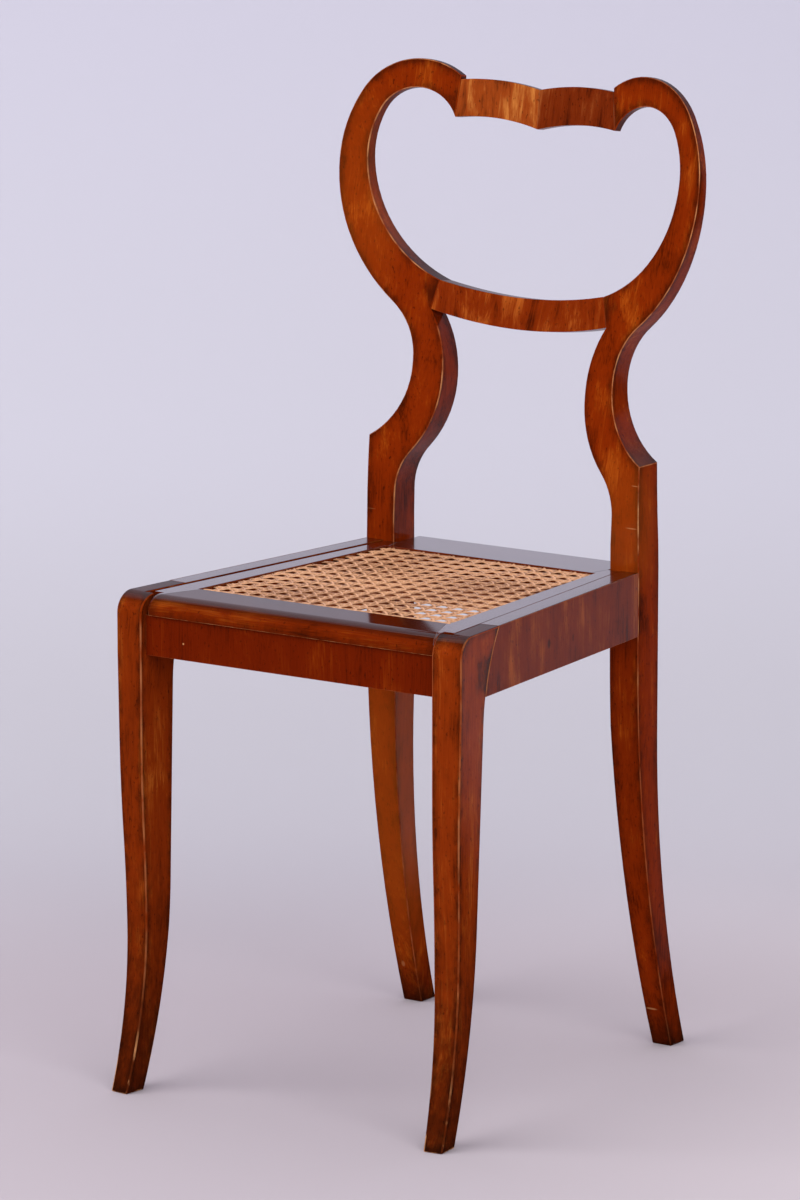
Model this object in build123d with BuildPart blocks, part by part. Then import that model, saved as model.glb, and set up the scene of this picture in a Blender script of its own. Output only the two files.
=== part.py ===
from build123d import *
from math import atan2, cos, sin
import os

# A balloon-back dining chair in walnut, about 1840, with a caned drop-in seat.
# Millimetres. +Z is up, the chair faces -Y, and X = 0 is its middle plane.
# The origin is on the floor, in the middle of the box that the chair fills.

# Seat
seat_height = 456.0
seat_depth = 337.0
front_half_width = 186.5
rear_half_width = 150.5

# Front legs, seen from the side: along the side rail and up
leg_width = 29.3
leg_top_round = 19.0
leg_top_depth = 69.9
leg_knee_depth = 42.8
leg_knee_height = 374.0
leg_calf_depth = 38.0
leg_calf_height = 190.0
leg_shin_hollow = 4.8
leg_shin_height = 150.0
leg_shin_start = 320.0
leg_toe_reach = 20.5
leg_foot_depth = 23.5
# Front legs, seen from the front: how far each side draws in at the foot
leg_taper_start = 400.0
leg_outer_taper = 7.5
leg_inner_taper = 3.0
leg_inner_taper_start = 150.0

# Rear posts below the seat: one piece with the stiles above it
post_width = 31.0
post_thickness = 34.0
post_toe_reach = 61.0
post_heel_reach = 84.0
post_front_sweep_start = 380.0
post_rear_sweep_start = 303.0
post_taper_start = 310.0
post_inner_taper = 10.5

# Back, as levels from the seat to the top: height, lean of the middle of its front face,
# how far its sides come forward of the middle at the blank's half width, and thickness
back_sweep_margin = 3.2
back_levels = (
    (480.0, 0.0, 0.0, post_thickness),
    (600.0, 21.7, 27.5, 27.5),
    (750.0, 45.5, 32.0, 16.5),
    (902.0, 63.5, 32.0, 8.5),
)
# The saw cuts the balloon square to the leaning face: it falls this much per unit of depth
cut_fall = 0.15

# Stile outline seen from the front: distance from the middle plane, and height
step_inset = 1.5
step_height = 553.0
waist_outer = (110.3, 620.0)
waist_flat = 5.0
waist_to_shoulder = (135.4, 677.0)
widest = (196.8, 811.0)
shoulder_to_scroll = (180.3, 867.3)
scroll_top = (123.3, 900.0)
scroll_end = (83.3, 886.7)
eye_top = (124.4, 873.2)
eye_to_side = (160.3, 853.0)
side_inner = (170.3, 808.0)
waist_inner = (78.5, 609.0)
post_flare_inset = 15.0
post_flare_height = 541.7
post_flare_length = 40.4

# Stay rail and crest rail, seen from the front
stay_top_end = (89.6, 699.3)
stay_top_sag = 9.9
stay_bottom_end = (96.3, 672.3)
stay_bottom_sag = 11.8
crest_end_drop = 3.7
crest_tip = (87.5, 848.2)
crest_top_notch = 5.8
crest_top_high = (42.0, 884.2)
crest_bottom_notch = 7.2
crest_bottom_high = (44.0, 849.7)

# Seat rails
side_rail_height = 59.0
front_rail_height = 37.0
front_rail_thickness = 22.0
front_rail_setback = 3.5
back_rail_height = 38.0
back_rail_thickness = 24.0
back_rail_setback = 1.0
veneer = 1.0
glue_line = 0.2

# Drop-in seat
seat_frame_thickness = 18.0
seat_frame_setback = 0.5
ear_width = 19.0
horn_depth = 18.0
seat_gap = 3.0
seat_shift = 2.5
nose_round = 15.0
front_member_width = 56.0
back_member_width = 27.5
side_member_front_width = 27.34
side_member_rear_width = 20.81
cane_thickness = 2.0
cane_recess = 1.5
cane_bearing = 5.0
cane_pitch = 16.7
cane_hole_radius = 4.0
cane_hole_sides = 8
cane_edge_margin = 2.5

# Joinery
tenon_thickness = 9.0
tenon_cheek = 7.0
tenon_shoulder = 5.0
leg_tenon_end = 28.0
post_tenon_length = 16.0
front_tenon_length = 14.0
front_tenon_cheek = 7.0
back_tenon_length = 11.0
stay_tenon_length = 17.0
stay_tenon_root = 10.0
stay_tenon_height = 18.0
stay_tenon_thickness = 8.0
mortise_clearance = 0.2
dowel_diameter = 4.0
dowel_length = 18.0
dowel_clearance = 0.2
block_leg = 42.0
block_height = 30.0
block_drop = 3.0

# Worked-out places
side_slope = (front_half_width - rear_half_width) / seat_depth
side_angle = atan2(front_half_width - rear_half_width, seat_depth)
toe_forward = leg_toe_reach * cos(side_angle) + (leg_width - leg_inner_taper) * sin(side_angle)
overall_depth = toe_forward + seat_depth + post_heel_reach
leg_front_y = toe_forward - overall_depth / 2
post_front_y = leg_front_y + seat_depth
post_rear_y = post_front_y + post_thickness
post_inner = rear_half_width - post_width
ledge_height = seat_height - seat_frame_thickness
side_rail_bottom = seat_height - side_rail_height
rail_length = seat_depth / cos(side_angle)
front_rail_y = leg_front_y + front_rail_setback
front_rail_rear_y = front_rail_y + front_rail_thickness
back_rail_rear_y = post_rear_y - back_rail_setback
back_rail_y = back_rail_rear_y - back_rail_thickness
nose_y = leg_front_y + seat_frame_setback
cane_front_y = nose_y + front_member_width
cane_rear_y = post_front_y - back_member_width
cane_depth = cane_rear_y - cane_front_y
back_sweep_half_width = widest[0] + back_sweep_margin
step = (rear_half_width - step_inset, step_height)
waist_to_post = (post_inner - post_flare_inset, post_flare_height)
post_straight_top = post_flare_height - post_flare_length
stay_top_middle = stay_top_end[1] - stay_top_sag
stay_bottom_middle = stay_bottom_end[1] - stay_bottom_sag
crest_top_middle = crest_top_high[1] - crest_top_notch
crest_bottom_middle = crest_bottom_high[1] - crest_bottom_notch
far = overall_depth

# The right side rail's outer face: along the rail and up. Depths are measured inward from it
side_plane = Plane(
    origin=(front_half_width, leg_front_y, 0),
    x_dir=(-sin(side_angle), cos(side_angle), 0),
    z_dir=(cos(side_angle), sin(side_angle), 0),
)
# The front leg's front face: inward from its outer corner and up
leg_front_plane = Plane(
    origin=(front_half_width, leg_front_y, 0),
    x_dir=(-cos(side_angle), -sin(side_angle), 0),
    z_dir=(-sin(side_angle), cos(side_angle), 0),
)


def side_x(y, depth):
    """X of the right side at a given Y and depth behind the rail's outer face."""
    return front_half_width - side_slope * (y - leg_front_y) - depth / cos(side_angle)


def mirrored(points):
    """A right-hand outline and its left-hand image, as one closed run of points."""
    return points + [(-x, y) for x, y in reversed(points)]


def leg_side_face():
    """The front leg seen from the side, with its rounded top and its sabre curve."""
    with BuildSketch() as face:
        with BuildLine():
            top_round = (0, seat_height - leg_top_round)
            shin_start = (0, leg_shin_start)
            shin_middle = (leg_shin_hollow / 2, (leg_shin_start + leg_shin_height) / 2)
            shin_end = (leg_shin_hollow, leg_shin_height)
            toe = (-leg_toe_reach, 0)
            heel = (leg_foot_depth - leg_toe_reach, 0)
            calf = (leg_calf_depth, leg_calf_height)
            knee = (leg_knee_depth, leg_knee_height)
            Line(top_round, shin_start)
            upper = TangentArc(shin_start, shin_middle, tangent=(0, -1))
            lower = TangentArc(shin_middle, shin_end, tangent=upper % 1)
            TangentArc(shin_end, toe, tangent=lower % 1)
            Line(toe, heel)
            back = Line(calf, knee)
            TangentArc(calf, heel, tangent=(back % 0) * -1)
            TangentArc(knee, (leg_top_depth, seat_height), tangent=back % 1)
            Line((leg_top_depth, seat_height), (leg_top_round, seat_height))
            TangentArc((leg_top_round, seat_height), top_round, tangent=(-1, 0))
        make_face()
    return face.sketch


def side_rail_face(leg_side):
    """The side rail seen from the side: its front end follows the leg's knee."""
    with BuildSketch() as face:
        with BuildLine():
            Polyline(
                (leg_calf_depth, side_rail_bottom),
                (rail_length + post_thickness, side_rail_bottom),
                (rail_length + post_thickness, seat_height),
                (leg_calf_depth, seat_height),
                close=True,
            )
        make_face()
        add(leg_side, mode=Mode.SUBTRACT)
    return face.sketch


def back_shell(front_inset, rear_inset):
    """The leaning, hollowed blank of the back, between two depths behind its front face.

    Without a rear depth it is as thick as the back itself.
    """
    with BuildPart() as shell:
        for height, lean, hollow, thickness in back_levels:
            front = post_front_y + lean + front_inset
            rear = post_front_y + lean + (thickness if rear_inset is None else rear_inset)
            half = back_sweep_half_width
            with BuildSketch(Plane.XY.offset(height)):
                with BuildLine():
                    for y in (front, rear):
                        if hollow > 0:
                            ThreePointArc((-half, y - hollow), (0, y), (half, y - hollow))
                        else:
                            Line((-half, y), (half, y))
                    Line((-half, front - hollow), (-half, rear - hollow))
                    Line((half, front - hollow), (half, rear - hollow))
                make_face()
        loft()
    return shell.part


def back_profile(height):
    """Lean, hollow and thickness of the back at a height, on one cubic through its levels."""
    profile = [0.0, 0.0, 0.0]
    for level in back_levels:
        weight = 1.0
        for other in back_levels:
            if other is not level:
                weight *= (height - other[0]) / (level[0] - other[0])
        profile = [total + weight * value for total, value in zip(profile, level[1:])]
    return profile


def back_y(x, height, depth_share):
    """Y inside the back's thickness, from 0 at its front face to 1 at its rear face."""
    lean, hollow, thickness = back_profile(height)
    drop = hollow * (x / back_sweep_half_width) ** 2
    return post_front_y + lean + depth_share * thickness - drop


def on_template(point, side=1):
    """A point of the back's front face, followed along the sloping cut to the plane Y = 0."""
    x, height = point
    return (side * x, height + cut_fall * back_y(x, height, 0))


def crest_face():
    """The crest rail seen from the front: two low arches that meet in a notch."""
    crest_end = (scroll_end[0], scroll_end[1] - crest_end_drop)
    with BuildSketch() as face:
        with BuildLine():
            for side in (1, -1):
                top = on_template(crest_end, side)
                tip = on_template(crest_tip, side)
                high = on_template(crest_top_high, side)
                low = on_template(crest_bottom_high, side)
                ThreePointArc(on_template((0, crest_top_middle)), high, top)
                Line(top, tip)
                ThreePointArc(tip, low, on_template((0, crest_bottom_middle)))
        make_face()
    return face.sketch


def stay_face():
    """The stay rail seen from the front: a shallow crescent with square ends."""
    top = on_template(stay_top_end)
    bottom = on_template(stay_bottom_end)
    left_top = on_template(stay_top_end, -1)
    left_bottom = on_template(stay_bottom_end, -1)
    with BuildSketch() as face:
        with BuildLine():
            ThreePointArc(left_top, on_template((0, stay_top_middle)), top)
            Line(top, bottom)
            ThreePointArc(bottom, on_template((0, stay_bottom_middle)), left_bottom)
            Line(left_bottom, left_top)
        make_face()
    return face.sketch


def above_waist(point):
    """The upper end of the short upright run at the waist, on the saw's template."""
    x, height = point
    return on_template((x, height + waist_flat))


def post_lower_face():
    """The rear post seen from the front, from its foot to above the waist."""
    foot_inner = (post_inner + post_inner_taper, 0)
    outer_top = (waist_outer[0], seat_height + overall_depth)
    inner_top = (waist_inner[0], seat_height + overall_depth)
    with BuildSketch() as face:
        with BuildLine():
            Line((rear_half_width, 0), (rear_half_width, seat_height))
            Line((rear_half_width, seat_height), step)
            TangentArc(waist_outer, step, tangent=(0, -1))
            Polyline(waist_outer, outer_top, inner_top, waist_inner)
            bulge = TangentArc(waist_inner, waist_to_post, tangent=(0, -1))
            TangentArc(waist_to_post, (post_inner, post_straight_top), tangent=bulge % 1)
            Line((post_inner, post_straight_top), (post_inner, post_taper_start))
            Line((post_inner, post_taper_start), foot_inner)
            Line(foot_inner, (rear_half_width, 0))
        make_face()
    return face.sketch


def post_upper_face():
    """The stile above the waist, on the saw's template: shoulder, scroll and eye."""
    waist_start = above_waist(waist_outer)
    shoulder_start = on_template(waist_to_shoulder)
    side_start = on_template(widest)
    scroll_start = on_template(shoulder_to_scroll)
    end_top = on_template(scroll_end)
    tip = on_template(crest_tip)
    eye_end = on_template(eye_to_side)
    inner_start = on_template(side_inner)
    stay_top = on_template(stay_top_end)
    stay_bottom = on_template(stay_bottom_end)
    bulge_start = above_waist(waist_inner)
    with BuildSketch() as face:
        with BuildLine():
            waist = TangentArc(waist_start, shoulder_start, tangent=(0, 1))
            shoulder = TangentArc(shoulder_start, side_start, tangent=waist % 1)
            TangentArc(side_start, scroll_start, tangent=shoulder % 1)
            ThreePointArc(scroll_start, on_template(scroll_top), end_top)
            Line(end_top, tip)
            eye = ThreePointArc(tip, on_template(eye_top), eye_end)
            inner = TangentArc(eye_end, inner_start, tangent=eye % 1)
            TangentArc(inner_start, stay_top, tangent=inner % 1)
            Line(stay_top, stay_bottom)
            TangentArc(bulge_start, stay_bottom, tangent=(0, 1))
            Line(bulge_start, waist_start)
        make_face()
    return face.sketch


def block(low, high, center_xy, size_xy, clearance):
    """An upright box between two heights: a tenon, or with a clearance all round its mortise."""
    length, thickness = size_xy
    with BuildPart() as box:
        with BuildSketch(Plane.XY.offset(low - clearance)):
            with Locations(center_xy):
                Rectangle(length + 2 * clearance, thickness + 2 * clearance)
        extrude(amount=high - low + 2 * clearance)
    return box.part


os.makedirs("parts", exist_ok=True)


def finish(piece, name):
    """Label a finished piece and write it."""
    piece.part.label = name
    export_step(piece.part, f"parts/{name}.step")


def finish_pair(piece, name):
    """Write a right-hand piece and its left-hand image."""
    finish(piece, name + "_right")
    with BuildPart() as other:
        mirror(piece.part, about=Plane.YZ)
    finish(other, name + "_left")


# Front legs: the side outline cut from a plank, then tapered as seen from the front
rail_tenon_low = side_rail_bottom + tenon_shoulder
rail_tenon_high = ledge_height - tenon_shoulder
rail_tenon_middle = (rail_tenon_low + rail_tenon_high) / 2
rail_tenon_height = rail_tenon_high - rail_tenon_low
front_rail_bottom = ledge_height - front_rail_height
front_tenon_low = front_rail_bottom + tenon_shoulder
front_tenon_high = ledge_height - tenon_shoulder
front_tenon_y = front_rail_y + front_tenon_cheek + tenon_thickness / 2
front_tenon_half = side_x(front_tenon_y, leg_width) + front_tenon_length
front_tenon = block(
    front_tenon_low, front_tenon_high, (0, front_tenon_y), (2 * front_tenon_half, tenon_thickness), 0
)
front_mortise = block(
    front_tenon_low,
    front_tenon_high,
    (0, front_tenon_y),
    (2 * front_tenon_half, tenon_thickness),
    mortise_clearance,
)
leg_tenon_middle = (leg_tenon_end + leg_top_depth) / 2
leg_tenon_reach = leg_top_depth - leg_tenon_end
leg_outline = leg_side_face()

with BuildPart() as front_leg:
    with BuildSketch(side_plane):
        add(leg_outline)
    extrude(amount=-leg_width)
    with BuildSketch(leg_front_plane):
        with BuildLine():
            Polyline(
                (0, seat_height),
                (0, leg_taper_start),
                (leg_outer_taper, 0),
                (leg_width - leg_inner_taper, 0),
                (leg_width, leg_inner_taper_start),
                (leg_width, seat_height),
                close=True,
            )
        make_face()
    extrude(amount=far, both=True, mode=Mode.INTERSECT)
    # The rebate behind the horn, where the seat frame drops in
    with BuildSketch(side_plane.offset(-ear_width)):
        with Locations((horn_depth, ledge_height)):
            Rectangle(leg_top_depth, seat_height, align=(Align.MIN, Align.MIN))
    extrude(amount=-leg_width, mode=Mode.SUBTRACT)
    # Mortises for the side rail and the front rail
    with BuildSketch(side_plane.offset(-tenon_cheek + mortise_clearance)):
        with Locations((leg_tenon_middle - mortise_clearance, rail_tenon_middle)):
            Rectangle(leg_tenon_reach, rail_tenon_height + 2 * mortise_clearance)
    extrude(amount=-tenon_thickness - 2 * mortise_clearance, mode=Mode.SUBTRACT)
    add(front_mortise, mode=Mode.SUBTRACT)

finish_pair(front_leg, "front_leg")

# Rear posts: sabre leg, square at the seat, waisted stile and inward scroll in one plank
shell_solid = back_shell(0, None)
stay_middle_height = (stay_top_end[1] + stay_bottom_end[1]) / 2
stay_end_x = (stay_top_end[0] + stay_bottom_end[0]) / 2
stay_tenon_y = back_y(stay_end_x, stay_middle_height, 0.5)
stay_tenon_low = stay_middle_height - stay_tenon_height / 2
stay_tenon_high = stay_middle_height + stay_tenon_height / 2
back_tenon_half = post_inner + back_tenon_length
back_rail_low = ledge_height - back_rail_height
back_tenon_y = back_rail_y + back_rail_thickness / 2
dowel_height = (scroll_end[1] - crest_end_drop + crest_tip[1]) / 2
dowel_x = (scroll_end[0] + crest_tip[0]) / 2
dowel_y = back_y(dowel_x, dowel_height, 0.5) + veneer / 2
cut_direction = (0, 1, -cut_fall)
lower_outline = post_lower_face()
upper_outline = post_upper_face()
back_tenon_span = (
    back_rail_low + tenon_shoulder,
    ledge_height - tenon_shoulder,
    (0, back_tenon_y),
    (2 * back_tenon_half, tenon_thickness),
)
stay_tenon_span = (
    stay_tenon_low,
    stay_tenon_high,
    (stay_end_x, stay_tenon_y),
    (2 * stay_tenon_length, stay_tenon_thickness),
)
back_mortise = block(*back_tenon_span, mortise_clearance)
stay_mortise = block(*stay_tenon_span, mortise_clearance)

# The sloping cut through the waist, where the upright outline hands over to the template
waist_run = Vector(*above_waist(waist_outer)) - Vector(*above_waist(waist_inner))
waist_plane = Plane(
    origin=(waist_outer[0], 0, above_waist(waist_outer)[1]),
    z_dir=Vector(waist_run.X, 0, waist_run.Y).cross(Vector(*cut_direction)),
)

with BuildPart() as post_outline:
    with BuildSketch(Plane.XZ):
        add(lower_outline)
    extrude(amount=far, both=True)
    split(bisect_by=waist_plane, keep=Keep.BOTTOM)
    with BuildSketch(Plane.XZ):
        add(upper_outline)
    extrude(amount=far, dir=cut_direction)

with BuildPart() as rear_post:
    with BuildSketch(Plane.YZ):
        with BuildLine():
            front_sweep = (post_front_y, post_front_sweep_start)
            rear_sweep = (post_rear_y, post_rear_sweep_start)
            toe = (post_front_y + post_toe_reach, 0)
            heel = (post_front_y + post_heel_reach, 0)
            post_top = back_levels[0][0]
            Line((post_front_y, post_top), front_sweep)
            TangentArc(front_sweep, toe, tangent=(0, -1))
            Line(toe, heel)
            TangentArc(rear_sweep, heel, tangent=(0, -1))
            Line(rear_sweep, (post_rear_y, post_top))
            Line((post_rear_y, post_top), (post_front_y, post_top))
        make_face()
    extrude(amount=back_sweep_half_width)
    add(shell_solid)
    add(post_outline.part, mode=Mode.INTERSECT)
    # Mortises for the side rail, the back rail and the stay rail, and the crest dowel's hole
    with BuildSketch(side_plane.offset(-tenon_cheek + mortise_clearance)):
        with Locations((rail_length, rail_tenon_middle)):
            mortise_reach = 2 * (post_tenon_length + mortise_clearance)
            Rectangle(mortise_reach, rail_tenon_height + 2 * mortise_clearance)
    extrude(amount=-tenon_thickness - 2 * mortise_clearance, mode=Mode.SUBTRACT)
    add(back_mortise, mode=Mode.SUBTRACT)
    add(stay_mortise, mode=Mode.SUBTRACT)
    with BuildSketch(Plane.YZ):
        with Locations((dowel_y, dowel_height)):
            Circle(dowel_diameter / 2 + dowel_clearance)
    extrude(amount=dowel_x + dowel_length / 2 + dowel_clearance, mode=Mode.SUBTRACT)

finish_pair(rear_post, "rear_post")

# Crest rail with its two leaves of veneer, and the dowels that hold it to the scrolls
veneer_solid = back_shell(-veneer, veneer)
veneer_seat = back_shell(-veneer, veneer + glue_line)
crest_outline = crest_face()
stay_outline = stay_face()

with BuildPart() as crest_rail:
    with BuildSketch(Plane.XZ):
        add(crest_outline)
    extrude(amount=far, dir=cut_direction)
    add(shell_solid, mode=Mode.INTERSECT)
    add(veneer_seat, mode=Mode.SUBTRACT)
    with BuildSketch(Plane.YZ.offset(-far)):
        with Locations((dowel_y, dowel_height)):
            Circle(dowel_diameter / 2 + dowel_clearance)
    extrude(amount=far - dowel_x + dowel_length / 2 + dowel_clearance, mode=Mode.SUBTRACT)
    with BuildSketch(Plane.YZ.offset(dowel_x - dowel_length / 2 - dowel_clearance)):
        with Locations((dowel_y, dowel_height)):
            Circle(dowel_diameter / 2 + dowel_clearance)
    extrude(amount=far, mode=Mode.SUBTRACT)

finish(crest_rail, "crest_rail")

with BuildPart() as crest_veneer:
    with BuildSketch(Plane.XZ):
        add(crest_outline)
    extrude(amount=far, dir=cut_direction)
    add(shell_solid, mode=Mode.INTERSECT)
    add(veneer_solid, mode=Mode.INTERSECT)
    split(bisect_by=Plane.YZ, keep=Keep.TOP)

finish_pair(crest_veneer, "crest_veneer")

with BuildPart() as crest_dowels:
    for start in (dowel_x - dowel_length / 2, -dowel_x - dowel_length / 2):
        with BuildSketch(Plane.YZ.offset(start)):
            with Locations((dowel_y, dowel_height)):
                Circle(dowel_diameter / 2)
        extrude(amount=dowel_length)

finish(crest_dowels, "crest_dowels")

# Stay rail with its cross-grained veneer, and a tenon rooted in each end
stay_tenon_x = stay_end_x + (stay_tenon_length - stay_tenon_root) / 2
stay_tenon_size = (stay_tenon_length + stay_tenon_root, stay_tenon_thickness)
stay_tenons = [
    block(stay_tenon_low, stay_tenon_high, (side * stay_tenon_x, stay_tenon_y), stay_tenon_size, 0)
    for side in (1, -1)
]

with BuildPart() as stay_rail:
    with BuildSketch(Plane.XZ):
        add(stay_outline)
    extrude(amount=far, dir=cut_direction)
    add(shell_solid, mode=Mode.INTERSECT)
    add(veneer_seat, mode=Mode.SUBTRACT)
    add(stay_tenons)

finish(stay_rail, "stay_rail")

with BuildPart() as stay_veneer:
    with BuildSketch(Plane.XZ):
        add(stay_outline)
    extrude(amount=far, dir=cut_direction)
    add(shell_solid, mode=Mode.INTERSECT)
    add(veneer_solid, mode=Mode.INTERSECT)

finish(stay_veneer, "stay_veneer")

# Side rails: an outer wall as high as the seat, a ledge inside it, and a tenon at each end
rail_outline = side_rail_face(leg_outline)

with BuildPart() as side_rail:
    with BuildSketch(side_plane.offset(-veneer)):
        add(rail_outline)
    extrude(amount=veneer - leg_width)
    with BuildSketch(side_plane.offset(-ear_width)):
        with Locations((0, ledge_height)):
            Rectangle(2 * far, seat_height, align=(Align.CENTER, Align.MIN))
    extrude(amount=-leg_width, mode=Mode.SUBTRACT)
    split(bisect_by=Plane(origin=(0, post_front_y, 0), z_dir=(0, 1, 0)), keep=Keep.BOTTOM)
    with BuildSketch(side_plane.offset(-tenon_cheek)):
        with Locations((leg_tenon_end, rail_tenon_middle)):
            tenon_run = rail_length + post_tenon_length - leg_tenon_end
            Rectangle(tenon_run, rail_tenon_height, align=(Align.MIN, Align.CENTER))
    extrude(amount=-tenon_thickness)

finish_pair(side_rail, "side_rail")

with BuildPart() as side_veneer:
    with BuildSketch(side_plane):
        add(rail_outline)
    extrude(amount=-veneer)
    split(bisect_by=Plane(origin=(0, post_front_y, 0), z_dir=(0, 1, 0)), keep=Keep.BOTTOM)

finish_pair(side_veneer, "side_rail_veneer")

# Front rail between the legs, with its veneered face set back behind them
with BuildPart() as front_rail:
    core_y = front_rail_y + veneer
    with BuildSketch(Plane.XY.offset(front_rail_bottom)):
        with BuildLine():
            ends = [(side_x(y, leg_width), y) for y in (core_y, front_rail_rear_y)]
            Polyline(*mirrored(ends), close=True)
        make_face()
    extrude(amount=front_rail_height)
    add(front_tenon)

finish(front_rail, "front_rail")

with BuildPart() as front_veneer:
    with BuildSketch(Plane.XY.offset(front_rail_bottom)):
        with BuildLine():
            ends = [(side_x(y, leg_width), y) for y in (front_rail_y, front_rail_y + veneer)]
            Polyline(*mirrored(ends), close=True)
        make_face()
    extrude(amount=front_rail_height)

finish(front_veneer, "front_rail_veneer")

# Back rail between the posts, under the seat frame's tongue
back_tenon = block(*back_tenon_span, 0)

with BuildPart() as back_rail:
    with BuildSketch(Plane.XY.offset(back_rail_low)):
        with Locations((0, back_rail_y + back_rail_thickness / 2)):
            Rectangle(2 * post_inner, back_rail_thickness)
    extrude(amount=back_rail_height)
    add(back_tenon)

finish(back_rail, "back_rail")

# Glue blocks in the corners, a little below the ledge that carries the seat
block_low = ledge_height - block_drop - block_height
block_run_y = block_leg * cos(side_angle)

with BuildPart() as front_block:
    with BuildSketch(Plane.XY.offset(block_low)):
        with BuildLine():
            corner_x = side_x(front_rail_rear_y, leg_width)
            Polyline(
                (corner_x, front_rail_rear_y),
                (side_x(front_rail_rear_y + block_run_y, leg_width), front_rail_rear_y + block_run_y),
                (corner_x - block_leg, front_rail_rear_y),
                close=True,
            )
        make_face()
    extrude(amount=block_height)

finish_pair(front_block, "front_corner_block")

with BuildPart() as rear_block:
    with BuildSketch(Plane.XY.offset(block_low)):
        with BuildLine():
            Polyline(
                (side_x(post_front_y - block_run_y, leg_width), post_front_y - block_run_y),
                (side_x(post_front_y, leg_width), post_front_y),
                (post_inner, post_front_y),
                (post_inner, back_rail_y),
                (post_inner - block_leg, back_rail_y),
                close=True,
            )
        make_face()
    extrude(amount=block_height)

finish_pair(rear_block, "rear_corner_block")

# Drop-in seat frame: one outline, cut into four members along their joints
seat_plane = Plane(origin=(seat_shift, 0, ledge_height))
notch_y = leg_front_y + (horn_depth + seat_gap) * cos(side_angle)
seat_rear_y = post_front_y - seat_gap
tongue_half = post_inner - seat_gap
nose_half = side_x(nose_y, leg_width + seat_gap)
cane_front_half = side_x(cane_front_y, ear_width + seat_gap) - side_member_front_width
cane_rear_half = side_x(cane_rear_y, ear_width + seat_gap) - side_member_rear_width
opening = [(cane_front_half, cane_front_y), (cane_rear_half, cane_rear_y)]
bearing = [
    (cane_front_half + cane_bearing, cane_front_y - cane_bearing),
    (cane_rear_half + cane_bearing, cane_rear_y + cane_bearing),
]
bearing_height = seat_frame_thickness - cane_recess - cane_thickness

with BuildPart() as seat_frame:
    with BuildSketch(seat_plane):
        with BuildLine():
            outline = [
                (nose_half, nose_y),
                (side_x(notch_y, leg_width + seat_gap), notch_y),
                (side_x(notch_y, ear_width + seat_gap), notch_y),
                (side_x(seat_rear_y, ear_width + seat_gap), seat_rear_y),
                (tongue_half, seat_rear_y),
                (tongue_half, post_rear_y),
            ]
            Polyline(*mirrored(outline), close=True)
        make_face()
        with BuildLine():
            Polyline(*mirrored(opening), close=True)
        make_face(mode=Mode.SUBTRACT)
    extrude(amount=seat_frame_thickness)
    nose_edges = seat_frame.faces().sort_by(Axis.Y)[0].edges().sort_by(Axis.Z)[-1]
    fillet(nose_edges, radius=nose_round)
    # The rebate that the cane lies in
    with BuildSketch(seat_plane.offset(bearing_height)):
        with BuildLine():
            Polyline(*mirrored(bearing), close=True)
        make_face()
    extrude(amount=seat_frame_thickness, mode=Mode.SUBTRACT)

side_region = [
    opening[0],
    (nose_half, nose_y),
    (far, nose_y),
    (far, seat_rear_y),
    (tongue_half, seat_rear_y),
    opening[1],
]
front_region = mirrored([opening[0], (nose_half, nose_y), (nose_half, nose_y - far)])
back_region = mirrored([opening[1], (tongue_half, seat_rear_y), (tongue_half, far)])
seat_members = {
    "seat_frame_right": side_region,
    "seat_frame_left": [(-x, y) for x, y in side_region],
    "seat_frame_front": front_region,
    "seat_frame_back": back_region,
}

for name, region in seat_members.items():
    with BuildPart() as member:
        with BuildSketch(seat_plane):
            with BuildLine():
                Polyline(*region, close=True)
            make_face()
        extrude(amount=seat_frame_thickness)
        add(seat_frame.part, mode=Mode.INTERSECT)
    finish(member, name)

# Cane: a woven panel with one hole in each mesh of its square grid
cane_rows = int(cane_depth / cane_pitch)
cane_middle_y = (cane_front_y + cane_rear_y) / 2
cane_holes = []
for row in range(cane_rows):
    y = cane_middle_y + (row - (cane_rows - 1) / 2) * cane_pitch
    share = (y - cane_front_y) / cane_depth
    half = cane_front_half + share * (cane_rear_half - cane_front_half)
    reach = int((half - cane_hole_radius - cane_edge_margin) / cane_pitch)
    cane_holes += [(column * cane_pitch, y) for column in range(-reach, reach + 1)]

with BuildPart() as cane_panel:
    with BuildSketch(seat_plane.offset(bearing_height)):
        with BuildLine():
            Polyline(*mirrored(bearing), close=True)
        make_face()
        with Locations(*cane_holes):
            RegularPolygon(radius=cane_hole_radius, side_count=cane_hole_sides, mode=Mode.SUBTRACT)
    extrude(amount=cane_thickness)

finish(cane_panel, "cane_panel")
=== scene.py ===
import math

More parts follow.
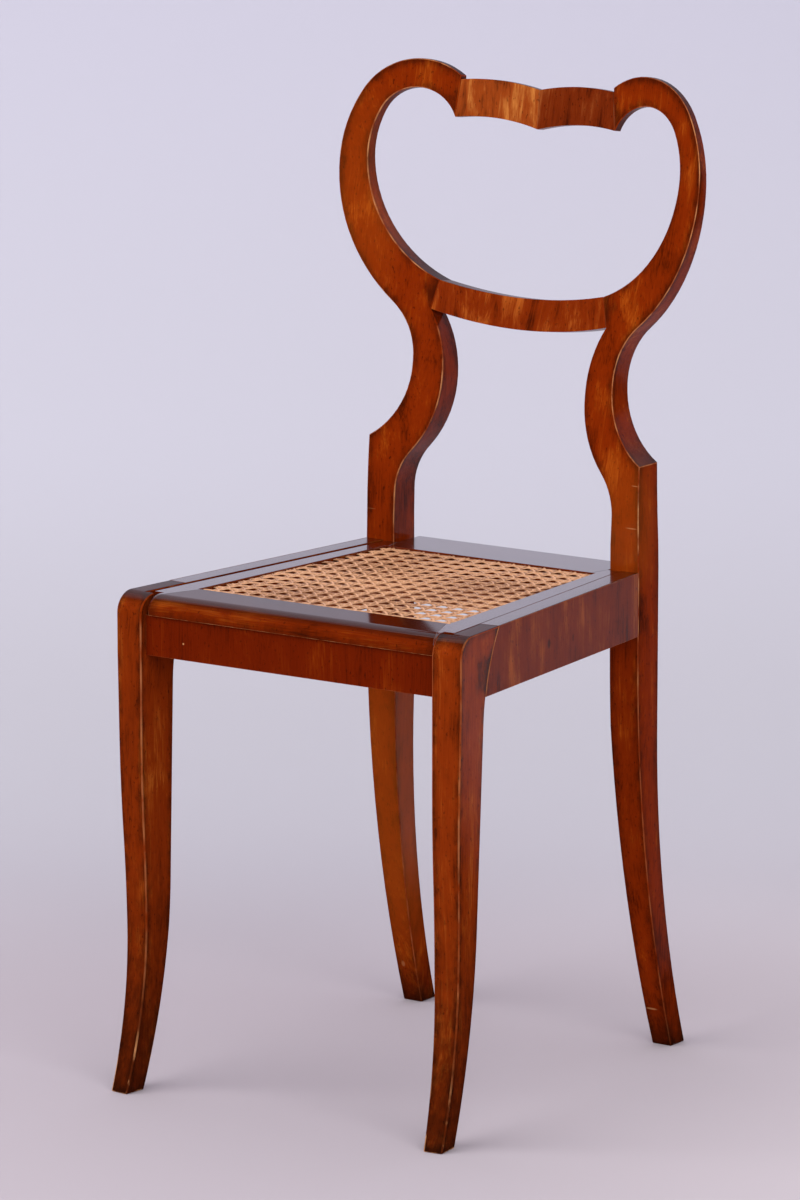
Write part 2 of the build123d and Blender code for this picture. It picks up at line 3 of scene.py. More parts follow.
import bmesh
import bpy
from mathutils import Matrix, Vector


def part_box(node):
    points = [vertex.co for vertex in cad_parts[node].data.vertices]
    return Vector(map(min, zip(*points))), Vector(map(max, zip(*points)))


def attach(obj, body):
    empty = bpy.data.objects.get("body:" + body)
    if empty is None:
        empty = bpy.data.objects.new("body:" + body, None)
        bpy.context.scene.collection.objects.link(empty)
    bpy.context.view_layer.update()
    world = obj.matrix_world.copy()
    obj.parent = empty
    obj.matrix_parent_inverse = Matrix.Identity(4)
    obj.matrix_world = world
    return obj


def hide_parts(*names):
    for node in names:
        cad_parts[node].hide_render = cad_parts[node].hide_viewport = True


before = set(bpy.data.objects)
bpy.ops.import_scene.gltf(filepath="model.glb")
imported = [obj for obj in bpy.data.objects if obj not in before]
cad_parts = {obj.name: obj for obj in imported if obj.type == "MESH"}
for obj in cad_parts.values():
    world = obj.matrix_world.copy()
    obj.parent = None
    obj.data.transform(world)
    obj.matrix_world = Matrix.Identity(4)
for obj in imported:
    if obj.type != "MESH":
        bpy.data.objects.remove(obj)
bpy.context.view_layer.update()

bl_info = {
    "name": "Balloon-back chair",
    "version": (1, 0, 0),
    "blender": (4, 5, 0),
    "location": "View3D > Sidebar > Chair",
    "description": "Finishes a balloon-back dining chair in polished walnut, veneer and woven cane",
    "category": "Object",
}

# Turns that bring the grain, which runs along Z in the wood's own pattern, along a piece
UPRIGHT = (0.0, 0.0, 0.0)
ALONG_X = (0.0, -math.pi / 2, 0.0)
ALONG_Y = (math.pi / 2, 0.0, 0.0)

# Directions in which the arrises of a piece are rubbed most and carry the most painted highlight
FRONT_CORNER = (0.707, -0.707, 0.0)
FRONT_TOP = (0.0, -0.707, 0.707)
FRONT_UNDERSIDE = (0.0, -0.8, -0.6)

# Shader nodes that the materials use most, and how they are set
MATH = "ShaderNodeMath"
VECTOR = "ShaderNodeVectorMath"
RANGE = "ShaderNodeMapRange"
MIX = "ShaderNodeMix"
SOFT = {"interpolation_type": "SMOOTHSTEP"}
COLOUR = {"data_type": "RGBA"}

# Where each pattern of a material begins to show and where it shows in full
SPECKS_SHOW = (0.60, 0.72)
# Painted shade on faces that look up
TOP_SHADE_SHOWS = (0.40, 0.95)
# Darkening close to the edges of a face
EDGE_DARKENING_SHOWS = (-0.48, 0.12)
RUBBING_SHOWS = (0.30, 0.75)
# Arrises that face the given way carry a painted highlight as well as wear
FACING_SHOWS = (0.45, 0.95)
# Scuffs near the floor carry a painted highlight as well
SCUFFS_AND_GLINTS_SHOW = (0.42, 0.62)
MARK_SHOWS = (1.3, 0.5)
RINGS_SHOW = (0.0, 0.60)
FLECKS_SHOW = (0.35, 1.05)

# How much of each pattern is seen at most
SPECK_STRENGTH = 0.6
# Painted shade on faces that look up
TOP_SHADE_STRENGTH = 0.85
# Darkening towards the foot
FOOT_DARKENING_STRENGTH = 0.82
# Wear and painted highlight on the arrises
WEAR_AND_HIGHLIGHT_ALL_ROUND = 0.2
WEAR_AND_HIGHLIGHT_BELOW_SEAT = 0.25

# Noise swings about this value, and the wood on the whole is a little darker than its ground colour
NOISE_MIDDLE = 0.5
GROUND_TONE = 0.48

# How far the pattern of the wood is shifted from one seed to the next, in metres
SEED_SHIFT = (0.37, 0.91, 0.53)

# Limits for joining the facets of a CAD piece and for finding its arrises
FACET_GAP = 2e-6
FLAT_ANGLE = math.radians(0.05)
ARRIS_ANGLE = math.radians(35)

# The weave: rise of strands in strand thicknesses, and room at the frame in meshes
PAIR_RISE = 0.55
DIAGONAL_RISE = 1.15
PAIR_ROOM = 0.09
DIAGONAL_ROOM = 0.06
STEPS_PER_MESH = 9
FEWEST_PAIR_POINTS = 4
FEWEST_DIAGONAL_POINTS = 5

# How brown a strand is at its middle, how much painted shade darkens it at its edges, and how brown it is by
# its own tone
MIDDLE_BROWN = -0.25
EDGE_SHADE = 0.9
STRAND_BROWN = 0.45

# The paper that the polish mirrors: a wedge behind the chair, without the floor close to the chair
WEDGE_SLOPE = 0.42
WEDGE_EDGE = (0.06, -0.10)
CLOSE_FLOOR = (0.75, 0.45)


def linear(code):
    """A colour written as an sRGB hex code, in linear light."""
    shares = [int(code[i : i + 2], 16) / 255 for i in (0, 2, 4)]
    return [s / 12.92 if s <= 0.04045 else ((s + 0.055) / 1.055) ** 2.4 for s in shares]


def colour(name, description, code):
    """A colour setting whose default is an sRGB hex code."""
    return bpy.props.FloatVectorProperty(
        name=name, description=description, subtype="COLOR", size=3, min=0.0, max=1.0, default=linear(code)
    )


def length(name, description, default):
    """A length setting in metres."""
    return bpy.props.FloatProperty(name=name, description=description, unit="LENGTH", default=default)


def angle(name, description, degrees):
    """An angle setting whose default is in degrees."""
    return bpy.props.FloatProperty(
        name=name, description=description, subtype="ANGLE", default=math.radians(degrees)
    )


class ChairWood(bpy.types.PropertyGroup):
    """The polished walnut and its wear."""

    dark: colour("Dark grain", "Late wood and the darkest streaks", "3E1002")
    middle: colour("Ground", "The ground colour under the polish", "822A05")
    # The flame colour is also painted light on patches of the rear posts
    light: colour("Flame", "The lightest bands of the figure", "B45818")
    # The worn colour is also a painted highlight on the arrises
    worn_and_highlit: colour("Worn arris", "Wood laid bare on the edges", "D29460")
    # The dark colour is also the painted shade on faces that look up, and the darkening near edges and
    # towards the feet
    dirt_and_shade: colour("Dirt", "Dark wax and floor dirt", "1C0A04")
    raw: colour("Secondary wood", "Unpolished wood inside the seat", "9C5028")
    band: length("Band width", "Width of the broad bands of the figure", 0.016)
    sway: length("Sway", "Width over which the grain sways to and fro", 0.064)
    swing: length("Swing", "How far the grain sways", 0.04)
    streak: length("Streak width", "Width of the streaks in a band", 0.0050)
    # Real hair lines and pores are some tenths of a millimetre wide and would not show, so these are coarser
    hair: length("Hair line width", "Width of the finest lines of the grain", 0.0019)
    pore: length("Pore width", "Width of the pores", 0.0010)
    pore_depth: length("Pore depth", "Depth of the pores under the polish", 0.0004)
    mottle: length("Mottle", "Size of the cloudy patches under the polish", 0.038)
    speck: length("Specks", "Width of the dark specks of wax", 0.0022)
    # The next two set the darker blotches close to the edges of a face
    edge_blotch: length("Smears", "Size of the smears of dirt along the edges", 0.007)
    dark_edge_reach: length("Dirty edge", "How far from an edge dirt has gathered", 0.009)
    rub: length("Rubbed stretches", "Size of the rubbed stretches of an arris", 0.011)
    # The ragged edge where the darker foot ends
    splash: length("Splashes", "Size of the ragged patches where the floor dirt ends", 0.006)
    ring: length("Year rings", "Width of the rings of the secondary wood", 0.005)
    arris: length("Eased arris", "Width of the rounded edges", 0.0009)
    corner: length("Eased leg corner", "Width of the rounded corners of the front legs", 0.0013)
    joint: length("Eased joint edge", "Width of the edges of rails and veneers", 0.0004)
    # Heights up to which the legs are darker towards the foot
    toe: length("Dark toe", "Height to which the front legs are dark with wax and dirt", 0.25)
    heel: length("Dark heel", "Height to which the rear legs are dark with wax and dirt", 0.06)
    # Heights of the scuffs near the floor, which also carry a painted highlight on the arrises
    scuffed_and_glinting: length("Scuffed", "Height at which no more scuffs from shoes and brooms show", 0.07)
    most_scuffed_and_glinting: length("Most scuffed", "Height below which scuffs show in full", 0.02)
    grip: length("Grip", "Height above which hands have rubbed the posts", 0.45)
    below_grip: length("Below the grip", "Stretch below that over which the rubbing fades", 0.15)
    bare: length("Bare inside", "Reach of the unpolished wood up from the foot of a rail", 0.03)


class ChairCane(bpy.types.PropertyGroup):
    """The six-way hand-woven cane."""

    pitch: length("Pitch", "Distance from one mesh to the next", 0.0167)
    width: length("Strand width", "Width of a strand of cane", 0.0022)
    thickness: length("Strand thickness", "Thickness of a strand of cane", 0.0006)
    pair: length("Pair spacing", "Distance between the two strands of a pair", 0.0030)
    fleck: length("Flecks", "Size of the flecks in the skin", 0.00238)
    skin: colour("Cane", "The aged glossy skin of the rattan", "DCA478")
    # The aged colour is also the painted shade at the edges of the strands
    shade: colour("Aged cane", "The browner edges and strands", "8A5430")


class ChairStage(bpy.types.PropertyGroup):
    """Floor, backdrop, lights and camera."""

    # The paper's colours carry painted light and shade: lighter to the right of the chair, and lighter from
    # the floor up to the top of the backdrop
    floor: colour("Floor", "The paper under the chair", "BEB4BB")
    floor_right_lit: colour("Floor, right", "The paper to the right of the chair", "CFC5CA")
    foot: colour("Foot of the backdrop", "The paper where it bends up", "C4C1C9")
    wall: colour("Backdrop", "The paper behind the chair", "CCCAD5")
    top: colour("Top of the backdrop", "The paper behind the chair's back", "D0CEDC")
    studio: colour("Studio", "The dark room that shows in reflections in front of the paper", "0A0909")
    sky: colour("Sky", "The even light from all round", "E4E2EC")
    bend: length("Bend", "Radius of the bend from floor to backdrop", 0.9)
    behind: length("Floor behind", "Floor from the chair's middle back to the bend", 0.75)
    before: length("Floor in front", "Floor from the chair's middle to the paper's front edge", 7.0)
    tall: length("Backdrop height", "Height of the backdrop", 5.0)
    half: length("Half width", "Half the width of the paper", 6.0)
    below: length("Below the feet", "How far the paper lies below the feet", 0.0002)
    azimuth: angle("Azimuth", "Camera's way round from the front", 34.824)
    elevation: angle("Elevation", "Camera's angle above level", 11.418)
    camera: bpy.props.FloatVectorProperty(
        name="Camera",
        description="Place of the camera, solved from the photo",
        subtype="TRANSLATION",
        default=(3.424023, -4.945756, 1.651616),
    )
    lens: bpy.props.FloatProperty(name="Lens", description="Focal length", unit="CAMERA", default=204.2294)


def put(tree, kind, *values, named=None, output=None, **settings):
    """Add a shader node with its settings and return one of its outputs, or the first one in use.

    The values are constants or links, for the inputs in use in their order, or for named inputs.
    """
    node = tree.nodes.new(kind)
    for name, value in settings.items():
        setattr(node, name, value)
    inputs = list(zip([socket for socket in node.inputs if socket.enabled], values))
    inputs += [(node.inputs[name], value) for name, value in (named or {}).items()]
    for socket, value in inputs:
        if isinstance(value, bpy.types.NodeSocket):
            tree.links.new(value, socket)
        elif socket.type == "RGBA":
            socket.default_value = (*value, 1.0)
        else:
            socket.default_value = value
    if output:
        return node.outputs[output]
    return next((socket for socket in node.outputs if socket.enabled), None)


def new_material(name):
    """An empty procedural material, its node tree, and the place on the chair that is shaded."""
    material = bpy.data.materials.new(name)
    material.use_nodes = True
    tree = material.node_tree
    tree.nodes.clear()
    return material, tree, put(tree, "ShaderNodeTexCoord", output="Object")


def finish_material(tree, surface):
    """Give a material its principled surface."""
    shader = put(tree, "ShaderNodeBsdfPrincipled", named=surface)
    put(tree, "ShaderNodeOutputMaterial", shader)


def fibres(tree, place, width, stretch, detail):
    """Noise drawn out along the grain, for features of a given width in metres."""
    scale = (1 / width, 1 / width, 1 / (width * stretch))
    drawn = put(tree, VECTOR, place, scale, operation="MULTIPLY")
    noise = {"Vector": drawn, "Scale": 1.0, "Detail": detail, "Roughness": 0.55}
    return put(tree, "ShaderNodeTexNoise", named=noise)


def figured(tree, where, grain, seed, figure, cloud):
    """The colour of the figure, which flames along the grain, and the noise of its pores."""
    wood = bpy.context.scene.chair_wood
    offset = [seed * shift for shift in SEED_SHIFT]
    turned = {"Vector": where, "Rotation": grain, "Location": offset}
    place = put(tree, "ShaderNodeMapping", named=turned)
    sway = fibres(tree, place, wood.sway, 4.0, 2.0)
    sway = put(tree, MATH, sway, wood.swing, operation="MULTIPLY")
    place = put(tree, VECTOR, place, sway, operation="ADD")
    # Width, length over width, detail and weight of each layer, with the pores last
    layers = (
        (wood.band, 14.0, 2.0, 1.4 * figure),
        (wood.streak, 40.0, 3.0, 0.5 * figure),
        (wood.hair, 70.0, 2.0, 0.42),
        (wood.mottle, 1.6, 6.0, cloud),
        (wood.pore, 28.0, 2.0, -0.5),
    )
    depth = GROUND_TONE - sum(NOISE_MIDDLE * layer[-1] for layer in layers)
    for width, stretch, detail, weight in layers:
        noise = fibres(tree, place, width, stretch, detail)
        depth = put(tree, MATH, noise, weight, depth, operation="MULTIPLY_ADD")
    darker = put(tree, RANGE, depth, 0.0, NOISE_MIDDLE, **SOFT)
    lighter = put(tree, RANGE, depth, NOISE_MIDDLE, 1.0, **SOFT)
    shade = put(tree, MIX, darker, wood.dark, wood.middle, **COLOUR)
    return put(tree, MIX, lighter, shade, wood.light, **COLOUR), noise


def wax_specks_and_top_shade(tree, where, normal, shade):
    """Dark specks of wax all over, and painted shade that darkens the faces that look up."""
    wood = bpy.context.scene.chair_wood
    speck = fibres(tree, where, wood.speck, 2.0, 3.0)
    speck = put(tree, RANGE, speck, *SPECKS_SHOW, **SOFT)
    speck = put(tree, MATH, speck, SPECK_STRENGTH, operation="MULTIPLY")
    shade = put(tree, MIX, speck, shade, wood.dirt_and_shade, **COLOUR)
    # Painted shade: faces that look up are darkened towards the dark colour
    upward = put(tree, "ShaderNodeSeparateXYZ", normal, output="Z")
    top_shade = put(tree, RANGE, upward, *TOP_SHADE_SHOWS, **SOFT)
    top_shade = put(tree, MATH, top_shade, TOP_SHADE_STRENGTH, operation="MULTIPLY")
    return put(tree, MIX, top_shade, shade, wood.dirt_and_shade, **COLOUR)


def darker_near_edges(tree, where, shade, edge_darkening):
    """Darker blotches on the faces, close to their edges."""
    wood = bpy.context.scene.chair_wood
    around = {"samples": 4, "inside": True, "only_local": True}
    distance = {"Distance": wood.dark_edge_reach}
    inner = put(tree, "ShaderNodeAmbientOcclusion", named=distance, output="AO", **around)
    edge_blotch = fibres(tree, where, wood.edge_blotch, 2.0, 5.0)
    edge = put(tree, MATH, edge_blotch, inner, operation="SUBTRACT")
    edge = put(tree, RANGE, edge, *EDGE_DARKENING_SHOWS, **SOFT)
    edge = put(tree, MATH, edge, edge_darkening, operation="MULTIPLY")
    return put(tree, MIX, edge, shade, wood.dirt_and_shade, **COLOUR)


def rubbed_and_highlit(tree, where, normal, shade, wear_and_highlight, facing, joints, handled):
    """Arrises rubbed to bare wood in stretches and lighter with a painted highlight, most where they face the
    given way, and not at joints.
    """
    wood = bpy.context.scene.chair_wood
    rub = fibres(tree, where, wood.rub, 2.2, 4.0)
    worn_and_highlit = put(tree, RANGE, rub, *RUBBING_SHOWS, **SOFT)
    # Painted highlight: arrises that face the given way get most of the worn colour
    outer = put(tree, VECTOR, normal, facing, operation="DOT_PRODUCT")
    outer = put(tree, RANGE, outer, *FACING_SHOWS, **SOFT)
    most, least = (1 - WEAR_AND_HIGHLIGHT_ALL_ROUND) * wear_and_highlight, WEAR_AND_HIGHLIGHT_ALL_ROUND * wear_and_highlight
    outer = put(tree, MATH, outer, most, least, operation="MULTIPLY_ADD")
    worn_and_highlit = put(tree, MATH, worn_and_highlit, outer, operation="MULTIPLY")
    if handled:
        height = put(tree, "ShaderNodeSeparateXYZ", where, output="Z")
        low = wood.grip - wood.below_grip
        high = put(tree, RANGE, height, low, wood.grip, WEAR_AND_HIGHLIGHT_BELOW_SEAT)
        worn_and_highlit = put(tree, MATH, worn_and_highlit, high, operation="MULTIPLY")
    for joint, reach in joints:
        away = put(tree, VECTOR, where, joint, operation="DISTANCE")
        away = put(tree, RANGE, away, reach * 0.8, reach, **SOFT)
        worn_and_highlit = put(tree, MATH, worn_and_highlit, away, operation="MULTIPLY")
    return put(tree, MIX, worn_and_highlit, shade, wood.worn_and_highlit, **COLOUR)


def darker_foot(tree, where, shade, foot):
    """A leg darker towards the bottom, with a ragged upper edge at about this height."""
    wood = bpy.context.scene.chair_wood
    height = put(tree, "ShaderNodeSeparateXYZ", where, output="Z")
    splash = fibres(tree, where, wood.splash, 2.0, 5.0)
    height = put(tree, MATH, splash, -foot, height, operation="MULTIPLY_ADD")
    undarkened = put(tree, RANGE, height, -0.75 * foot, 0.55 * foot, **SOFT)
    darkened = put(tree, MIX, FOOT_DARKENING_STRENGTH, shade, wood.dirt_and_shade, **COLOUR)
    return put(tree, MIX, undarkened, darkened, shade, **COLOUR)


def scuffed_and_glinting(tree, where, shade):
    """Arrises knocked bare near the floor, and lighter there with a painted highlight."""
    wood = bpy.context.scene.chair_wood
    height = put(tree, "ShaderNodeSeparateXYZ", where, output="Z")
    low = put(tree, RANGE, height, wood.scuffed_and_glinting, wood.most_scuffed_and_glinting, **SOFT)
    rub = fibres(tree, where, wood.rub, 2.2, 4.0)
    scuff_and_glint = put(tree, RANGE, rub, *SCUFFS_AND_GLINTS_SHOW, **SOFT)
    scuff_and_glint = put(tree, MATH, low, scuff_and_glint, operation="MULTIPLY")
    # Painted highlight along with the scuffs on the arrises near the floor
    return put(tree, MIX, scuff_and_glint, shade, wood.worn_and_highlit, **COLOUR)


def marked(tree, where, shade, marks):
    """Single marks with soft edges, each given by its place, half its size, its colour and its strength."""
    for place, size, tint, strength in marks:
        away = put(tree, VECTOR, where, place, operation="SUBTRACT")
        away = put(tree, VECTOR, away, size, operation="DIVIDE")
        away = put(tree, VECTOR, away, operation="LENGTH")
        near = put(tree, RANGE, away, *MARK_SHOWS, **SOFT)
        near = put(tree, MATH, near, strength, operation="MULTIPLY")
        shade = put(tree, MIX, near, shade, tint, **COLOUR)
    return shade


def walnut(
    name,
    grain,
    seed,
    tone=(1.0, 1.0, 1.0),
    figure=0.4,
    cloud=1.7,
    coat=0.5,
    gloss=0.0,
    edge_darkening=0.0,
    wear_and_highlight=0.0,
    facing=FRONT_CORNER,
    joints=(),
    handled=False,
    foot=0.0,
    marks=(),
):
    """French-polished walnut: red-brown figured wood deep under thin coats of shellac.

    The eye sees a warm flame that runs with the grain, fine dark pores, and a clear glossy film.
    """
    wood = bpy.context.scene.chair_wood
    material, tree, where = new_material(name)
    normal = put(tree, "ShaderNodeNewGeometry", output="Normal")
    shade, pores = figured(tree, where, grain, seed, figure, cloud)
    shade = put(tree, MIX, 1.0, shade, tone, blend_type="MULTIPLY", **COLOUR)
    # Wax specks, and painted shade on faces that look up
    shade = wax_specks_and_top_shade(tree, where, normal, shade)
    if edge_darkening > 0:
        shade = darker_near_edges(tree, where, shade, edge_darkening)
    if wear_and_highlight > 0:
        shade = rubbed_and_highlit(tree, where, normal, shade, wear_and_highlight, facing, joints, handled)
    if foot > 0:
        shade = darker_foot(tree, where, shade, foot)
    # Scuffs with a painted highlight near the floor
    if wear_and_highlight > 0 and not handled:
        shade = scuffed_and_glinting(tree, where, shade)
    shade = marked(tree, where, shade, marks)
    relief = {"Strength": 0.05, "Distance": wood.pore_depth, "Height": pores}
    surface = {
        "Base Color": shade,
        "Roughness": 0.25 if gloss > 0 else 0.45,
        "IOR": 1.5,
        "Specular IOR Level": gloss,
        "Coat Weight": coat,
        "Coat Roughness": 0.08,
        "Coat IOR": 1.5,
        "Normal": put(tree, "ShaderNodeBump", named=relief),
    }
    finish_material(tree, surface)
    return material


def softwood(name):
    """Planed, unpolished softwood: soft rings in wood gone red-brown with age, dull and dry."""
    wood = bpy.context.scene.chair_wood
    material, tree, where = new_material(name)
    place = put(tree, "ShaderNodeMapping", named={"Vector": where, "Rotation": ALONG_X})
    rings = fibres(tree, place, wood.ring, 18.0, 3.0)
    rings = put(tree, RANGE, rings, *RINGS_SHOW, **SOFT)
    shade = put(tree, MIX, rings, wood.dark, wood.raw, **COLOUR)
    finish_material(tree, {"Base Color": shade, "Roughness": 0.75, "IOR": 1.5})
    return material


def rattan(name):
    """Split rattan cane: the hard, shiny skin of the vine, honey-coloured with age."""
    cane = bpy.context.scene.chair_cane
    material, tree, where = new_material(name)
    # The strand tone holds the strand's own tone and the painted shade towards its edges
    tone = put(tree, "ShaderNodeAttribute", attribute_name="strand_tone_and_shade", output="Fac")
    fleck = {"Vector": where, "Scale": 1 / cane.fleck, "Detail": 3.0}
    fleck = put(tree, "ShaderNodeTexNoise", named=fleck)
    aged_and_shaded = put(tree, MATH, fleck, 0.6, tone, operation="MULTIPLY_ADD")
    aged_and_shaded = put(tree, RANGE, aged_and_shaded, *FLECKS_SHOW, **SOFT)
    shade = put(tree, MIX, aged_and_shaded, cane.skin, cane.shade, **COLOUR)
    surface = {"Base Color": shade, "Roughness": 0.42, "IOR": 1.53, "Specular IOR Level": 0.5}
    finish_material(tree, surface)
    return material


def dress(node, faces, edges, width):
    """Give a CAD piece one material on its faces and one on its arrises, and round the arrises."""
    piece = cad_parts[node]
    piece.data.materials.clear()
    piece.data.materials.append(faces)
    piece.data.materials.append(edges)
    weld = piece.modifiers.new("joined facets", "WELD")
    weld.merge_threshold = FACET_GAP
    facets = piece.modifiers.new("whole flat faces", "DECIMATE")
    facets.decimate_type = "DISSOLVE"
    facets.angle_limit = FLAT_ANGLE
    bevel = piece.modifiers.new("eased arrises", "BEVEL")
    bevel.use_clamp_overlap = False
    bevel.width = width
    bevel.segments = 3
    bevel.limit_method = "ANGLE"
    bevel.angle_limit = ARRIS_ANGLE
    bevel.material = 1
    flat = piece.modifiers.new("flat faces", "WEIGHTED_NORMAL")
    flat.keep_sharp = False


def polish(node, kind, grain, seed, width, shared, faces, edges):
    """Polish a CAD piece: its faces and its worn arrises, which also carry a painted highlight, share a
    figure, and each has a finish of its own.
    """
    body = walnut(f"polished {kind} {node}", grain, seed, **shared, **faces)
    arris = walnut(f"worn arris {node}", grain, seed, **shared, **edges)
    dress(node, body, arris, width)


def joint_of(node, side):
    """The middle of the joint at a rail's left or right end, and how far round it no wear or painted
    highlight shows.
    """
    low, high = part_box(node)
    end = low.x if side == "left" else high.x
    return (end, (low.y + high.y) / 2, (low.z + high.z) / 2), (high.z - low.z) * 0.75


def add_mesh(name, bm):
    """Turn a finished bmesh into a smooth object of the scene."""
    mesh = bpy.data.meshes.new(name)
    bm.to_mesh(mesh)
    bm.free()
    mesh.shade_smooth()
    made = bpy.data.objects.new(name, mesh)
    bpy.context.scene.collection.objects.link(made)
    return made


class CHAIR_OT_posts(bpy.types.Operator):
    """Polish the two rear posts, with grain along the plank"""

    bl_idname = "chair.posts"
    bl_label = "Rear posts"

    def execute(self, context):
        wood = context.scene.chair_wood
        marks = {
            "left": {
                "scratch above the seat": ((-0.145, 0.138, 0.484), (0.005, 0.01, 0.0003), wood.worn_and_highlit, 0.2),
                "bare spot on the heel": ((-0.143, 0.187, 0.038), (0.002, 0.01, 0.0030), wood.worn_and_highlit, 0.25),
                # Painted light: lighter patches where the post is more brightly lit
                "painted light on the leg": ((-0.142, 0.175, 0.220), (0.06, 0.08, 0.17), wood.light, 0.3),
                "painted light on the bow": ((-0.175, 0.195, 0.760), (0.05, 0.06, 0.11), wood.light, 0.15),
            },
            "right": {
                "scratch on the heel": ((0.136, 0.188, 0.036), (0.006, 0.01, 0.0010), wood.worn_and_highlit, 0.4),
                "hole in the waist": ((0.078, 0.157, 0.608), (0.002, 0.01, 0.0020), wood.dirt_and_shade, 0.9),
                "scratch below the step": ((0.145, 0.139, 0.535), (0.004, 0.01, 0.0005), wood.worn_and_highlit, 0.4),
                "scratch above the seat": ((0.142, 0.138, 0.496), (0.006, 0.01, 0.0006), wood.worn_and_highlit, 0.45),
                # Painted light: a lighter patch where the stile is more brightly lit
                "painted light on the stile": ((0.140, 0.138, 0.500), (0.04, 0.03, 0.06), wood.light, 0.2),
            },
        }
        shared = {"tone": (0.95, 0.86, 0.68), "cloud": 1.2, "coat": 0.4, "foot": wood.heel}
        for seed, side in enumerate(("left", "right"), 3):
            joints = [joint_of(f"crest_veneer_{side}", side), joint_of("stay_veneer", side)]
            faces = {"edge_darkening": 0.75, "marks": marks[side].values()}
            # The arrises carry wear and a painted highlight
            edges = {"wear_and_highlight": 0.9, "joints": joints, "handled": True}
            polish(f"rear_post_{side}", "walnut", UPRIGHT, seed, wood.arris, shared, faces, edges)
        return {"FINISHED"}


class CHAIR_OT_crest(bpy.types.Operator):
    """Polish the crest rail, its two leaves of veneer and its dowels"""

    bl_idname = "chair.crest"
    bl_label = "Crest rail"

    def execute(self, context):
        wood = context.scene.chair_wood
        tones = {"crest_veneer_left": (1.3, 2.1, 4.4), "crest_veneer_right": (0.72, 0.82, 1.8)}
        for seed, (node, tone) in enumerate(tones.items(), 11):
            shared = {"tone": tone, "figure": 1.0}
            polish(node, "veneer", UPRIGHT, seed, wood.joint, shared, {}, {"wear_and_highlight": 0.3})
        ground = walnut("polished walnut crest_rail", ALONG_X, 13)
        dress("crest_rail", ground, ground, wood.joint)
        raw = softwood("dowel wood")
        dress("crest_dowels", raw, raw, wood.joint)
        return {"FINISHED"}


class CHAIR_OT_stay(bpy.types.Operator):
    """Polish the stay rail and its upright veneer"""

    bl_idname = "chair.stay"
    bl_label = "Stay rail"

    def execute(self, context):
        wood = context.scene.chair_wood
        shared = {"tone": (0.92, 0.95, 1.3), "figure": 0.9}
        polish("stay_veneer", "veneer", UPRIGHT, 21, wood.joint, shared, {}, {"wear_and_highlight": 0.3})
        ground = walnut("polished walnut stay_rail", ALONG_X, 22)
        dress("stay_rail", ground, ground, wood.joint)
        return {"FINISHED"}


class CHAIR_OT_legs(bpy.types.Operator):
    """Polish the two front legs, with grain up the leg"""

    bl_idname = "chair.legs"
    bl_label = "Front legs"

    def execute(self, context):
        wood = context.scene.chair_wood
        tones = {"left": (0.95, 1.05, 1.3), "right": (1.05, 1.2, 1.5)}
        for seed, (side, tone) in enumerate(tones.items(), 31):
            node = f"front_leg_{side}"
            low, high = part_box(node)
            # The horn's joint with the seat and the rail, where no wear or painted highlight shows, and its
            # reach
            horns = {"left": ((high.x, low.y + 0.04, high.z), 0.035), "right": (high, 0.04)}
            shared = {"tone": tone, "figure": 0.3, "cloud": 1.0, "foot": wood.toe}
            # The arrises carry wear and a painted highlight
            edges = {"wear_and_highlight": 0.38, "joints": [horns[side]]}
            polish(node, "walnut", UPRIGHT, seed, wood.corner, shared, {"edge_darkening": 0.85}, edges)
        return {"FINISHED"}


class CHAIR_OT_rails(bpy.types.Operator):
    """Polish the seat rails and their upright veneers, and leave the hidden wood raw"""

    bl_idname = "chair.rails"
    bl_label = "Seat rails"

    def execute(self, context):
        wood = context.scene.chair_wood
        self.veneers(wood)
        self.grounds(wood)
        raw = softwood("planed softwood")
        blocks = [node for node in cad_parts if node.endswith(("block_left", "block_right"))]
        for node in blocks + ["back_rail"]:
            dress(node, raw, raw, wood.joint)
        return {"FINISHED"}

    def veneers(self, wood):
        """Upright veneer on the outside of the rails."""
        marks = {
            "front_rail_veneer": {
                "filled hole": ((-0.115, -0.195, 0.416), (0.0009, 0.01, 0.0009), wood.worn_and_highlit, 0.9),
            },
            "side_rail_veneer_left": {},
            "side_rail_veneer_right": {
                "knot": ((0.169, -0.036, 0.423), (0.01, 0.0030, 0.0045), wood.dirt_and_shade, 0.7),
                "small knot": ((0.164, 0.010, 0.420), (0.01, 0.0018, 0.0040), wood.dirt_and_shade, 0.5),
            },
        }
        front = {"tone": (0.86, 0.60, 0.4), "figure": 0.25, "cloud": 0.8}
        side = {"tone": (0.98, 0.98, 1.0), "figure": 0.6, "cloud": 1.2}
        for seed, (node, spots) in enumerate(marks.items(), 41):
            in_front = node == "front_rail_veneer"
            shared = front if in_front else side
            faces = {"edge_darkening": 0.3, "marks": spots.values()}
            # The arrises carry wear and a painted highlight
            edges = {"wear_and_highlight": 0.9, "facing": FRONT_TOP if in_front else FRONT_CORNER}
            polish(node, "veneer", UPRIGHT, seed, wood.joint, shared, faces, edges)

    def grounds(self, wood):
        """The dark, glossy tops of the rails, darkened further by painted shade where they look up, and their
        inner faces, which were never polished.
        """
        grains = {"front_rail": ALONG_X, "side_rail_left": ALONG_Y, "side_rail_right": ALONG_Y}
        shared = {"tone": (0.6, 0.6, 0.6), "coat": 0.9, "gloss": 0.3}
        for seed, (node, grain) in enumerate(grains.items(), 51):
            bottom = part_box(node)[0].z
            bare = ((0.0, 0.0, bottom), (1.0, 1.0, wood.bare), wood.raw, 0.9)
            polish(node, "walnut", grain, seed, wood.joint, shared, {"marks": [bare]}, {"wear_and_highlight": 0.3})


